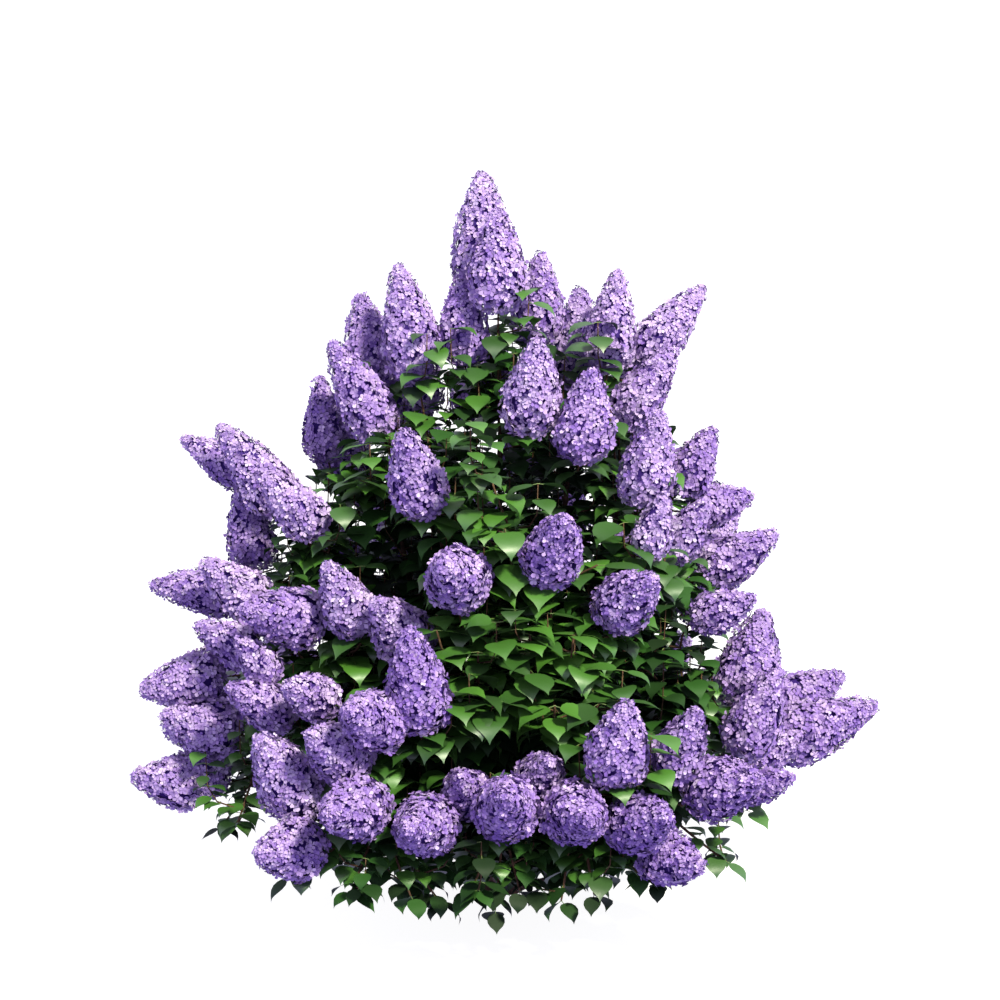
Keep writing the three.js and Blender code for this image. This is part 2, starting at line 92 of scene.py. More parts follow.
# Masses that show from the front, as in the solids: name, where the cane ends, the tip, size, lean
# from upright in degrees and girth of each flower head, and the tip of each leafy shoot
FRONT_MASSES = (
    ("top", (0, -40, 1040),
     ((-40, 20, 1610, 1.23, 2, 0.9), (-5, -130, 1535, 1.0, 6), (-85, -60, 1390, 0.88, 3, 0.97),
      (90, 20, 1435, 0.92, 3, 0.95), (80, -320, 1275, 0.97, 20), (-5, 120, 1235, 0.75, 5, 0.9)),
     ()),
    ("upper_right", (150, -90, 960),
     ((255, -40, 1400, 1.0, 5, 0.85), (180, 110, 1350, 1.0, 3, 0.95), (195, -330, 1215, 0.92, 15, 1.05)),
     ()),
    ("shoulder_right", (260, -80, 880),
     ((450, 0, 1360, 1.0, 41, 0.82), (380, -110, 1240, 0.97, 34, 0.85),
      (335, -320, 1125, 0.95, 15, 0.95), (475, 0, 1050, 0.77, 28, 1.05), (570, 60, 885, 0.7, 78, 1.15)),
     ()),
    ("upper_left", (-140, -130, 940),
     ((-220, -90, 1415, 1.15, 10, 0.85), (-310, 60, 1340, 0.97, 10), (-200, -430, 1100, 0.95, 29, 0.97),
      (-190, -20, 1235, 0.7, 12, 0.9)),
     ()),
    ("shoulder_left", (-230, -20, 850),
     ((-365, -110, 1250, 1.1, 28, 0.82), (-400, 60, 1155, 0.87, 5, 0.9), (-315, 60, 1005, 0.66, 10, 0.9)),
     ((-300, -200, 960),)),
    ("wing_right", (320, -120, 660),
     ((610, -80, 825, 0.85, 58, 1.03), (440, -290, 935, 0.75, 35, 0.95), (340, -400, 965, 0.68, 20, 0.9)),
     ()),
    ("wing_left", (-360, -60, 660),
     ((-620, -40, 1060, 1.12, 38, 0.82), (-720, 110, 1010, 0.87, 61, 0.82),
      (-580, 40, 920, 0.9, 10, 0.95), (-510, -240, 980, 0.86, 45, 0.93),
      (-775, -60, 705, 0.92, 82, 0.9), (-540, -430, 725, 0.92, 75, 1.06)),
     ()),
    ("side_left", (-400, -190, 520),
     ((-785, -190, 495, 0.86, 96, 1.22), (-645, -200, 785, 0.8, 50, 1.07),
      (-650, -270, 660, 0.7, 60, 1.08), (-360, -440, 825, 0.84, 33)),
     ()),
    ("low_left", (-480, -120, 280),
     ((-730, -270, 460, 0.8, 72, 1.2), (-800, -230, 315, 0.72, 78, 1.3), (-735, -220, 345, 0.7, 70, 1.1)),
     ((-610, -200, 190), (-560, -330, 240))),
    ("middle_left", (-350, -330, 420),
     ((-565, -450, 565, 0.8, 60), (-440, -560, 595, 0.7, 65, 1.05), (-490, -600, 500, 1.05, 38),
      (-550, -400, 660, 0.62, 40)),
     ()),
    ("front_left", (-200, -390, 430),
     ((-180, -660, 735, 1.06, 20, 0.93), (-255, -490, 755, 0.95, 50), (-300, -755, 585, 0.95, 70),
      (-380, -690, 525, 0.93, 60)),
     ()),
    ("low_front_left", (-260, -460, 230),
     ((-345, -785, 385, 0.97, 80), (-485, -690, 275, 0.78, 82, 1.25), (-180, -800, 360, 0.97, 78)),
     ((-300, -640, 185), (-430, -560, 190), (-180, -640, 175), (-120, -580, 140))),
    ("front", (-10, -480, 260),
     ((15, -830, 435, 1.0, 66), (-80, -680, 430, 0.77, 60), (95, -660, 465, 0.82, 55)),
     ((-60, -640, 185), (40, -620, 180), (-10, -590, 130))),
    ("low_front_right", (200, -470, 220),
     ((180, -825, 385, 0.97, 80), (330, -780, 380, 0.95, 70), (405, -680, 245, 0.82, 85, 1.06)),
     ((190, -640, 180), (320, -520, 165), (125, -590, 150))),
    ("front_right", (310, -380, 330),
     ((250, -725, 600, 0.87, 24, 1.12), (400, -610, 555, 0.83, 33), (525, -640, 420, 0.9, 70, 1.12)),
     ((470, -480, 200),)),
    ("side_right", (340, -200, 440),
     ((570, -180, 675, 1.0, 12, 1.12), (585, -330, 575, 0.93, 22), (540, -330, 730, 0.7, 65),
      (310, -600, 820, 0.92, 60)),
     ()),
    ("low_right", (470, -60, 250),
     ((850, 0, 420, 1.15, 68, 0.93), (665, -150, 385, 0.85, 60), (635, -290, 330, 0.62, 70)),
     ((540, -200, 230),)),
    ("front_high", (10, -320, 700),
     ((130, -600, 945, 0.95, 48), (-110, -630, 850, 1.0, 70)),
     ((10, -480, 900), (200, -450, 820), (-20, -420, 1000))),
    ("leaf_wall_left", (-30, -260, 290),
     (),
     ((-130, -480, 690), (-85, -420, 730), (-45, -505, 650), (0, -430, 715), (-100, -560, 560),
      (-10, -590, 570))),
    ("leaf_wall_right", (120, -240, 280),
     (),
     ((60, -520, 690), (105, -430, 740), (150, -530, 690), (210, -440, 730), (110, -600, 560),
      (200, -580, 560))),
)

# Masses round the back, as in the solids: name, masses, heads each, height of the leafy tip,
# bearings in degrees, height and reach of the fork, and heights and leans of the flower heads
BACK_TIERS = (
    ("low_back", 4, 4, 170, (13, 167), 250, 0.58, (430, 300), (68, 84)),
    ("middle_back", 3, 4, 0, (22, 158), 560, 0.5, (840, 650), (42, 62)),
    ("upper_back", 2, 4, 0, (20, 160), 860, 0.42, (1230, 1060), (14, 34)),
)
BACK_HEAD_SIZES = (1, 0.9, 1.05, 0.95)
LEAFY_TIP_SHARE = 0.85
REGIONS = ("top", "left", "right", "back_left", "back_right")
TOP_REGION_HEIGHT = 800

# Wood: sides, thickness and steps of each limb, and the relief of the canes
CANE_SEED = 0
CANE_SIDES = 12
CANE_JOINT_SPACING = 95
CANE_JOINT_SWELL = 0.28
CANE_JOINT_LENGTH = 7
CANE_RIDGES = 5
CANE_RIDGE_DEPTH = 0.07
CANE_ROUGHNESS = 0.03
SHOOT_SIDES = 6
SHOOT_FOOT_RADIUS = 3.6
SHOOT_TIP_RADIUS = 2.2
TWIG_SIDES = 4
TWIG_STEPS = 3
TWIG_FOOT_RADIUS = 2.2
TWIG_TIP_RADIUS = 1.2
CROWN_SEED = 7
CROWN_SIDES = 96
CROWN_RINGS = 40

# Bark relief on the crown: plates and furrows that wander round it as they rise
BARK_DEPTH = 2.2
BARK_FADE_HEIGHT = 6
BARK_ROUGHNESS = 0.25
BARK_PLATES = 17
PLATE_WANDER = 2.5
PLATE_WANDER_HEIGHT = 9
BARK_FURROWS = 5
FURROW_WANDER_HEIGHT = 14

# Leafy side twigs on the shoots, and on the canes inside the crown
TWIG_SEED = 1000
TWIG_SPACING = 60
TWIG_SPACING_SHARES = (0.8, 1.2)
FIRST_TWIG = 40
TWIG_LENGTHS = (80, 160)
TWIG_REACH = 0.55
TWIG_RISE = 0.8
TWIG_BEND = 0.1
TWIG_TURN = 2.4
TWIG_TURN_SPREAD = 0.4
TWIG_FIRST_PAIR = 26
CANE_TWIG_FROM = 0.3
CANE_TWIG_SPACING = 40
CANE_TWIG_LENGTHS = (140, 260)
CANE_TWIG_LEAST_HEIGHT = 110

# Leaves: sizes are shares of the full length, by chance, by height and by distance to the side
LEAF_SEED = 10
LEAF_LENGTH = 104
LEAF_SIZES = (0.75, 1.12)
LEAF_SIZE_BY_HEIGHT = ((60, 0.52), (230, 0.55), (400, 0.8), (480, 0.88), (900, 0.88), (1050, 0.68))
LEAF_SIZE_BY_SPREAD = ((220, 1.0), (380, 0.68), (600, 0.52))
LEAF_PAIR_SPACING = 54
LEAF_PAIR_TURN_SPREAD = 0.25
FIRST_PAIR = 34
HEAD_CLEARANCE = 12
LEAF_KEEPS_AXIS = 0.35
LEAF_PITCHES = (-0.4, 0.08)
LEAF_FOLDS = (0.02, 0.22)
LEAF_DROOPS = (0.3, 1.6)
LEAF_BEND_SPAN = (0.45, 0.9)
LEAF_TWIST = 0.12
LEAVES_PER_SPRAY = 4
TWIG_LEAF_SIZE = 0.88
TWIG_PAIR_SPACING = 50
HANGING_BELOW = 260
HANGING_PITCH = 1.6
GROUND_CLEARANCE = 66

# Outer leaves are those near the tips of the shoots, above the shaded skirt; the others get darker
# greens, painted as shade
OUTER_DEPTH = 170
SKIRT_HEIGHT = 200

# Points along a leaf's rib and half its width there, as shares of its length, and its stalk
LEAF_OUTLINE = ((0.02, 0.16), (0.11, 0.31), (0.28, 0.395), (0.47, 0.385), (0.65, 0.285), (0.79, 0.13),
                (0.9, 0.04))
PETIOLE_SIDES = 3
PETIOLE_LENGTH = 17
PETIOLE_RADIUS = 1.1
PETIOLE_TAPER = 0.8

# Florets: their size and spacing on a head, and how far chance moves each of them
BLOSSOM_SEED = 100
FLORET_RADIUS = 10.6
FLORET_SIZES = (0.85, 1.15)
FLORET_SPACING = 14.8
FLORET_SINK = 4
FLORET_SINK_SPREAD = 2
FLORET_SPIRAL_SPREAD = 0.08
FLORET_TURN_SPREAD = 0.5
FLORET_SIZE_UP_HEAD = ((0, 1.0), (0.35, 0.95), (1, 0.58))
FLORET_TILT = 0.27

# Sepals: points of one, as shares of the floret's radius, from its middle outward
SEPALS = 4
SEPAL_POINTS = ((0.03, 0, 0), (0.58, 0.46, 0.13), (1.0, 0.24, 0.06), (1.0, -0.24, 0.06),
                (0.58, -0.46, 0.13))
SEPAL_FACES = ((0, 2, 1), (0, 3, 2), (0, 4, 3))
SEPAL_LIFT = 0.2
SEPAL_LIFT_SPREAD = 0.19
SEPAL_TWIST = 0.17

# Flower heads: width up the head as shares of its radius and length, and its lumps
HEAD_OUTLINE = ((0.0, 0.08), (0.01, 0.42), (0.05, 0.72), (0.16, 0.95), (0.28, 1.0), (0.42, 0.94),
                (0.56, 0.81), (0.70, 0.64), (0.82, 0.47), (0.92, 0.32), (0.98, 0.19), (1.0, 0.04))
HEAD_OUTLINE_STEPS = 150
HEAD_LUMP = 0.06
HEAD_LUMPS_ROUND = 3
HEAD_LUMP_HEIGHT = 25
CORE_SHARE = 0.86
CORE_SIDES = 10

# Colours as red, green and blue from 0 to 255
LILACS = ((182, 163, 202), (167, 144, 191), (150, 124, 180), (133, 105, 170), (115, 86, 160))
# Dark violet of a head's core, painted as shade between the florets
LILAC_SHADE = (48, 29, 96)
GREENS = ((58, 104, 24), (49, 92, 20), (40, 79, 18), (33, 67, 16), (54, 98, 26))
# Darker greens painted on the inner and skirt leaves as shade
INNER_SHADE_GREENS = ((30, 68, 16), (20, 50, 11), (14, 36, 8))
LEAF_STALK = (96, 118, 60)
CANE_BARK = ((44, 32, 25), (86, 66, 51))
SHOOT_BARK = ((60, 42, 30), (96, 72, 52))

# Places in the row of lilacs: where a head's tone lies, and how far florets and sepals stray from it
HEAD_TONES = (1.3, 2.8)
FLORET_TONE = 0.8
SEPAL_TONE = 0.45

# Roughness and specular level of each finish
LEAF_FINISH = (0.5, 1.0)
INNER_LEAF_FINISH = (0.7, 0.3)
LEAF_STALK_FINISH = (0.5, 0.5)
SEPAL_FINISH = (0.55, 0.3)
LILAC_SHADE_FINISH = (0.8, 0.1)
BARK_FINISH = (0.85, 0.2)
STAGE_FINISH = (1.0, 0.0)

# Fine grain of leaves and bark: its scale, its strength and its depth in metres
GRAIN_DETAIL = 4
LEAF_GRAIN = (160, 0.25, 0.001)
CANE_GRAIN = (90, 0.6, 0.0015)
SHOOT_GRAIN = (130, 0.6, 0.0015)
BARK_MOTTLE = (0.35, 0.7)

# Studio: lengths in metres, and the glow of its white floor and wall
STAGE_REACH = 40
STAGE_SIDES = 64
STAGE_WHITE = (150, 150, 150)
GLOW_COLOUR = (1, 1, 1, 1)
WALL_HEIGHT = 16
WALL_GLOW = 1.0
FLOOR_GLOW = 0.93

# Lights: a small strong key light, and the sky's light from below, level and above, where the
# level one lies at a share of the way from the lowest to the highest
KEY_PLACE = (5.3, -9.9, 10.1)
KEY_TARGET = (0, 0, 0.8)
KEY_ENERGY = 4800
KEY_COLOUR = (1.0, 1.0, 0.76)
KEY_SIZE = 1.5
SKY_COLOURS = ((0.46, 0.41, 0.7), (0.78, 0.73, 1.27), (1.0, 1.0, 1.0))
SKY_LEVEL = 0.5

# Camera: places in metres, elevation in degrees, lens and sensor in millimetres
CAMERA_TARGET = (0, 0, 0.884)
CAMERA_DISTANCE = 5.8
CAMERA_ELEVATION = 9
CAMERA_LENS = 94.07
CAMERA_SENSOR = 36


def unit(vector):
    return vector / np.linalg.norm(vector)


def units(vectors):
    return vectors / np.linalg.norm(vectors, axis=1)[:, None]


def flat(vector):
    return np.array([vector[0], vector[1], 0.0])


def random_from(seed):
    return np.random.default_rng(seed)


def bearings_round(sides):
    """Even bearings round a ring, in radians."""
    return np.arange(sides) * 2 * math.pi / sides


def running_length(points):
    """Distance from the start of a path to each of its points."""
    return np.concatenate([[0], np.cumsum(np.linalg.norm(np.diff(points, axis=0), axis=1))])


def plant_reach(z):
    """How far the plant reaches from its axis at a height: out to its widest, then in to its top."""
    if z < WIDEST_HEIGHT:
        below = (WIDEST_HEIGHT - z) / WIDEST_HEIGHT
        return PLANT_REACH * (1 - SKIRT_TUCK * below * below)
    above = min(1, (z - WIDEST_HEIGHT) / (PLANT_HEIGHT - WIDEST_HEIGHT))
    return PLANT_REACH * (1 - above) ** SHOULDER_POWER


def on_plant(bearing, z, share=1.0):
    """A place at a share of the way from the axis to the plant's outline."""
    reach = plant_reach(z) * share
    return np.array([math.cos(bearing) * reach, math.sin(bearing) * reach, z])


def across_axes(axis):
    """Two directions square to an axis."""
    guide = np.array([1.0, 0, 0]) if abs(axis[2]) > NEARLY_UPRIGHT else UP
    side = unit(np.cross(guide, axis))
    return side, np.cross(axis, side)


def cubic(corners, share):
    """Points on a cubic curve, at each share of the way from its first corner to its last."""
    a, b, c, d = corners
    t = np.asarray(share)[:, None]
    return a * (1 - t) ** 3 + 3 * b * t * (1 - t) ** 2 + 3 * c * t * t * (1 - t) + d * t ** 3


def path_length(points):
    return float(np.linalg.norm(np.diff(points, axis=0), axis=1).sum())


def respaced(points, steps):
    """The same path with its points at even distances."""
    run = running_length(points)
    wanted = np.linspace(0, run[-1], steps + 1)
    return np.stack([np.interp(wanted, run, column) for column in points.T], axis=1)


def fine_path(points, step):
    """The same path with points about one step apart, and at least one between its ends."""
    return respaced(points, max(2, round(path_length(points) / step)))


def curved_path(corners, steps):
    """Points on a cubic curve, evenly spaced along its length."""
    return respaced(cubic(corners, np.linspace(0, 1, CURVE_SAMPLES)), steps)


def along_path(points, distance):
    """Place and direction at a distance along a path."""
    left = distance
    for i in range(1, len(points)):
        stretch = points[i] - points[i - 1]
        length = np.linalg.norm(stretch)
        if left <= length or i == len(points) - 1:
            axis = stretch / length
            return points[i - 1] + axis * left, axis
        left -= length


def goal_at(tip, size=0, lean=0, girth=1):
    """What a shoot grows towards: the tip of its flower head, or its leafy tip where size is 0."""
    return {"tip": np.array(tip, dtype=float), "size": size, "lean": lean, "girth": girth}


def back_masses(tier):
    """Masses of one tier round the back, their flower heads dealt evenly along the arc."""
    name, masses, heads_each, leafy_tip, (first, last), fork_height, fork_reach, tips, leans = tier
    total = masses * heads_each

    def bearing(share):
        return math.radians(first + (last - first) * share)

    made = []
    for number in range(masses):
        goals = []
        for place in range(heads_each):
            order = number * heads_each + place
            tip = on_plant(bearing((order + 0.5) / total), tips[order % len(tips)])
            size = BACK_HEAD_SIZES[order % len(BACK_HEAD_SIZES)]
            goals.append(goal_at(tip, size, leans[order % len(leans)]))
        middle = bearing((number + 0.5) / masses)
        if leafy_tip > 0:
            goals.append(goal_at(on_plant(middle, leafy_tip, LEAFY_TIP_SHARE)))
        fork = on_plant(middle, fork_height, fork_reach)
        region = "back_left" if fork[0] < 0 else "back_right"
        made.append({"name": f"{name}_{number + 1}", "fork": fork, "goals": goals, "region": region})
    return made


def region_of(fork):
    """The joined piece that a mass on the front or sides belongs to."""
    if fork[2] > TOP_REGION_HEIGHT:
        return "top"
    return "left" if fork[0] < 0 else "right"


def all_masses():
    """Every mass of the plant: where its cane ends, what its shoots grow towards, and its region."""
    front = []
    for name, fork, heads, leafy in FRONT_MASSES:
        goals = [goal_at((x, y, z), *rest) for x, y, z, *rest in heads]
        goals += [goal_at(place) for place in leafy]
        front.append({"name": name, "fork": np.array(fork, dtype=float), "goals": goals,
                      "region": region_of(fork)})
    return front + [mass for tier in BACK_TIERS for mass in back_masses(tier)]


def deal_feet(masses):
    """Canes of one tier stand round a ring in the crown, halfway between own and even bearings."""
    for below, ring, height in CANE_TIERS:
        tier = [mass for mass in masses if "foot" not in mass and mass["fork"][2] < below]
        bearings = [math.atan2(mass["fork"][1], mass["fork"][0]) for mass in tier]
        order = sorted(range(len(tier)), key=lambda i: bearings[i])
        step = 2 * math.pi / len(tier)
        first = sum(bearings[i] - n * step for n, i in enumerate(order)) / len(tier)
        for n, i in enumerate(order):
            dealt = (bearings[i] + first + n * step) / 2
            tier[i]["foot"] = np.array([math.cos(dealt) * ring, math.sin(dealt) * ring, height])


def cane_corners(foot, fork):
    """Corners of the curve from a cane's foot in the crown to the fork of its mass."""
    span = np.linalg.norm(fork - foot)
    outward = fork - foot
    steepness = math.degrees(math.atan2(outward[2], math.hypot(outward[0], outward[1])))
    rise = min(max(steepness * CANE_RISE_SHARE - CANE_RISE_DROP, CANE_LEAST_RISE), CANE_MOST_RISE)
    leaving = unit(unit(flat(outward)) + unit(flat(foot)) * CANE_KEEPS_BEARING)
    leaving = leaving * math.cos(math.radians(rise)) + UP * math.sin(math.radians(rise))
    arriving = unit(unit(outward) + UP * CANE_TIP_LIFT)
    return (foot, foot + leaving * span * CANE_FOOT_CURVE, fork - arriving * span * CANE_TIP_CURVE, fork)


def end_axis(goal, start):
    """A flower head leans outward by its own angle; a leafy tip carries on from its shoot's start."""
    if goal["size"] == 0:
        return unit(unit(goal["tip"] - start) + UP * LEAFY_TIP_LIFT)
    lean = math.radians(goal["lean"])
    return unit(flat(goal["tip"])) * math.sin(lean) + UP * math.cos(lean)


def grow_shoot(goal, start, parent_axis):
    """A shoot towards the tip of its flower head, or its leafy tip where its size is 0."""
    axis = end_axis(goal, start)
    end = goal["tip"] - axis * HEAD_LENGTH * goal["size"]
    span = np.linalg.norm(end - start)
    straight = unit(end - start)
    leaving = unit(straight + (parent_axis - straight) * SHOOT_KEEPS_AXIS)
    corners = (start, start + leaving * span * SHOOT_CURVE, end - axis * span * SHOOT_CURVE, end)
    return {**goal, "path": curved_path(corners, SHOOT_STEPS), "axis": axis}


def grow_mass(mass):
    """Cane of a mass, its leader, and the shoots that leave the leader one above the other."""
    corners = cane_corners(mass["foot"], mass["fork"])
    steps = max(CANE_LEAST_STEPS, round(np.linalg.norm(mass["fork"] - mass["foot"]) / CANE_STEP))
    mass["cane"] = curved_path(corners, steps)
    arriving = unit(mass["cane"][-1] - mass["cane"][-2])
    leader = grow_shoot(mass["goals"][0], mass["fork"], arriving)
    mass["shoots"] = [leader]
    for number, goal in enumerate(mass["goals"][1:]):
        place, axis = along_path(leader["path"], LOWEST_FORK + number * FORK_SPACING)
        mass["shoots"].append(grow_shoot(goal, place, axis))


class Faces:
    """Vertices and triangles of one joined piece, gathered from many small parts."""

    def __init__(self):
        self.vertices = []
        self.triangles = []
        self.shades = []
        self.count = 0

    def add(self, vertices, triangles, shades):
        """Add a part. shades is the material number of each triangle, or one for all of them."""
        self.vertices.append(vertices)
        self.triangles.append(triangles + self.count)
        self.shades.append(np.broadcast_to(shades, len(triangles)))
        self.count += len(vertices)

    def mesh(self, name, materials):
        """All parts as one smooth-shaded object."""
        vertices = np.concatenate(self.vertices) * METRE
        triangles = np.concatenate(self.triangles).astype(np.int32)
        mesh = bpy.data.meshes.new(name)
        mesh.vertices.add(len(vertices))
        mesh.vertices.foreach_set("co", vertices.astype(np.float32).ravel())
        mesh.loops.add(triangles.size)
        mesh.loops.foreach_set("vertex_index", triangles.ravel())
        mesh.polygons.add(len(triangles))
        mesh.polygons.foreach_set("loop_start", np.arange(0, triangles.size, 3, dtype=np.int32))
        mesh.polygons.foreach_set("use_smooth", np.ones(len(triangles), dtype=bool))
        for material in materials:
            mesh.materials.append(material)
        mesh.polygons.foreach_set("material_index", np.concatenate(self.shades).astype(np.int32))
        mesh.update(calc_edges=True)
        piece = bpy.data.objects.new(name, mesh)
        bpy.context.scene.collection.objects.link(piece)
        return piece


def carried_sides(points):
    """A direction across a path at each of its points, carried along without twisting."""
    axes = units(np.gradient(points, axis=0))
    sides = [across_axes(axes[0])[0]]
    for axis in axes[1:]:
        sides.append(unit(sides[-1] - axis * np.dot(sides[-1], axis)))
    sides = np.array(sides)
    return sides, np.cross(axes, sides)


def closed_rings(rings, sides):
    """Triangles over rings of vertices, closed by a middle vertex at the foot and one at the tip."""
    here = np.arange(sides)
    beside = (here + 1) % sides
    triangles = []
    for ring in range(rings - 1):
        low, high = ring * sides, (ring + 1) * sides
        triangles.append(np.stack([low + here, low + beside, high + beside], axis=1))
        triangles.append(np.stack([low + here, high + beside, high + here], axis=1))
    last, foot, tip = (rings - 1) * sides, rings * sides, rings * sides + 1
    triangles.append(np.stack([np.full(sides, foot), beside, here], axis=1))
    triangles.append(np.stack([np.full(sides, tip), last + here, last + beside], axis=1))
    return np.concatenate(triangles)


def tube(points, radii, sides):
    """Closed tube through points. radii has one value for each point, or one for each vertex."""
    across, front = carried_sides(points)
    turn = bearings_round(sides)
    radii = np.broadcast_to(np.asarray(radii, dtype=float).reshape(len(points), -1), (len(points), sides))
    ring = across[:, None] * np.cos(turn)[:, None] + front[:, None] * np.sin(turn)[:, None]
    vertices = (points[:, None] + ring * radii[..., None]).reshape(-1, 3)
    vertices = np.concatenate([vertices, points[:1], points[-1:]])
    return vertices, closed_rings(len(points), sides)


def stamped(template, triangles, places, frames):
    """Copies of a template at many places. frames has the three directions of each copy."""
    copies, corners = len(places), template.shape[-2]
    vertices = places[:, None] + np.matmul(template, frames)
    offsets = (np.arange(copies) * corners)[:, None, None]
    return vertices.reshape(-1, 3), (triangles[None] + offsets).reshape(-1, 3)


def cane_radii(points, random):
    """Radius at each vertex of a cane: a taper with swollen joints and lengthwise ridges."""
    run = running_length(points)
    taper = np.interp(run, [0, run[-1]], [CANE_FOOT_RADIUS, CANE_TIP_RADIUS])
    past_joint = (run + random.uniform(0, CANE_JOINT_SPACING)) % CANE_JOINT_SPACING
    from_joint = np.abs(past_joint - CANE_JOINT_SPACING / 2)
    swell = 1 + CANE_JOINT_SWELL * np.exp(-(from_joint / CANE_JOINT_LENGTH) ** 2)
    turn = bearings_round(CANE_SIDES)
    ridges = 1 + CANE_RIDGE_DEPTH * np.cos(turn * CANE_RIDGES + random.uniform(0, 2 * math.pi))
    rough = random.normal(1, CANE_ROUGHNESS, (len(points), CANE_SIDES))
    return (taper * swell)[:, None] * ridges * rough


def make_canes(masses, material):
    """Every cane, with its joints and ridges, from the crown to the fork of its mass."""
    faces = Faces()
    for number, mass in enumerate(masses):
        points = fine_path(mass["cane"], CANE_JOINT_LENGTH)
        radii = cane_radii(points, random_from(CANE_SEED + number))
        faces.add(*tube(points, radii, CANE_SIDES), 0)
    piece = faces.mesh("canes", [material])
    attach(piece, "root")
    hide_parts(*[f"cane_{mass['name']}" for mass in masses])


def crown_outline():
    """Outline of the crown from the middle of its flat cut to its top, as width and height."""
    flare, flare_top = CROWN_FLARE_TOP
    rows = [(0, 0), (CROWN_RADIUS + CROWN_FLARE, 0),
            (CROWN_RADIUS + CROWN_FLARE * flare, CROWN_HEIGHT * flare_top)]
    rows += [(CROWN_RADIUS * across, CROWN_HEIGHT * up) for across, up in CROWN_PROFILE]
    return np.array(rows, dtype=float)


def bark_relief(turn, width, height):
    """How far the crown's bark stands out from the bare form, fading out towards the flat cut."""
    plates = np.cos(turn * BARK_PLATES + PLATE_WANDER * np.sin(height / PLATE_WANDER_HEIGHT))
    plates = plates * np.cos(turn * BARK_FURROWS + height / FURROW_WANDER_HEIGHT)
    rough = random_from(CROWN_SEED).normal(0, BARK_ROUGHNESS, plates.shape)
    fade = np.clip(height / BARK_FADE_HEIGHT, 0, 1)
    return BARK_DEPTH * fade * ((plates + rough) * np.clip(width / CROWN_RADIUS, 0, 1) - 1)


def make_crown(material):
    """Woody crown with bark relief over its lobed flare."""
    outline = crown_outline()
    run = running_length(outline)
    wanted = np.concatenate([[0], np.linspace(run[1], run[-1], CROWN_RINGS)])
    width = np.interp(wanted, run, outline[:, 0])[:, None]
    height = np.interp(wanted, run, outline[:, 1])[:, None]
    turn = bearings_round(CROWN_SIDES)
    lobes = 1 + CROWN_LOBE_DEPTH * np.cos(turn * CROWN_LOBES) * (1 - height / CROWN_HEIGHT)
    radius = width * lobes + bark_relief(turn, width, height)
    rings = np.stack([radius * np.cos(turn), radius * np.sin(turn),
                      np.broadcast_to(height, radius.shape)], axis=-1)[1:-1]
    vertices = np.concatenate([rings.reshape(-1, 3), [[0, 0, 0]], [[0, 0, CROWN_HEIGHT]]])
    faces = Faces()
    faces.add(vertices, closed_rings(len(rings), CROWN_SIDES), 0)
    piece = faces.mesh("crown_bark", [material])
    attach(piece, "root")
    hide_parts("root_crown")


def grow_twigs(path, random, first, spacing, lengths):
    """Leafy side twigs of a shoot or cane: each leaves it sideways and bends upright."""
    twigs = []
    length = path_length(path)
    turn = random.uniform(0, 2 * math.pi)
    distance = first
    while distance < length:
        place, _ = along_path(path, distance)
        outward = np.array([math.cos(turn), math.sin(turn), 0]) * TWIG_REACH
        reach = random.uniform(*lengths)
        bend = place + (outward + UP * TWIG_BEND) * reach
        end = place + (outward + UP * TWIG_RISE) * reach
        twigs.append(cubic((place, bend, bend, end), np.linspace(0, 1, TWIG_STEPS + 1)))
        turn += TWIG_TURN + random.uniform(-TWIG_TURN_SPREAD, TWIG_TURN_SPREAD)
        distance += spacing * random.uniform(*TWIG_SPACING_SHARES)
    return twigs


def leaf_sites(path, random, size, first, last, spacing):
    """Place, direction and size of opposite pairs of leaves down a stem.

    Each pair is turned about a quarter round the stem and nearly level, or hangs where it is low down.
    """
    sites = []
    turn = random.uniform(0, math.pi)
    pairs = max(1, round((last - first) / (spacing * size)) + 1)
    for distance in np.linspace(last, min(first, last), pairs):
        place, axis = along_path(path, distance)
        side, front = across_axes(axis)
        hanging = HANGING_PITCH * max(0, 1 - place[2] / HANGING_BELOW)
        for half in (0, math.pi):
            outward = flat(side * math.cos(turn + half) + front * math.sin(turn + half))
            outward = unit(outward + flat(axis) * LEAF_KEEPS_AXIS)
            outward[2] = random.uniform(*LEAF_PITCHES) - hanging
            sites.append((place, unit(outward), size * random.uniform(*LEAF_SIZES)))
        turn += math.pi / 2 + random.uniform(-LEAF_PAIR_TURN_SPREAD, LEAF_PAIR_TURN_SPREAD)
    return sites


def leaf_size_at(place):
    """Leaves are largest in the middle, half way up, and smaller low down, at the top and outward."""
    size = np.interp(place[2], *zip(*LEAF_SIZE_BY_HEIGHT))
    return min(size, np.interp(abs(place[0]), *zip(*LEAF_SIZE_BY_SPREAD)))


def depth_of(place, path):
    """Whether a place on a shoot lies near its tip, or deeper in the crown or in the shaded skirt, where
    its leaves get painted shade.
    """
    near_tip = np.linalg.norm(path[-1] - place) < OUTER_DEPTH
    return "outer" if near_tip and place[2] > SKIRT_HEIGHT else "inner"


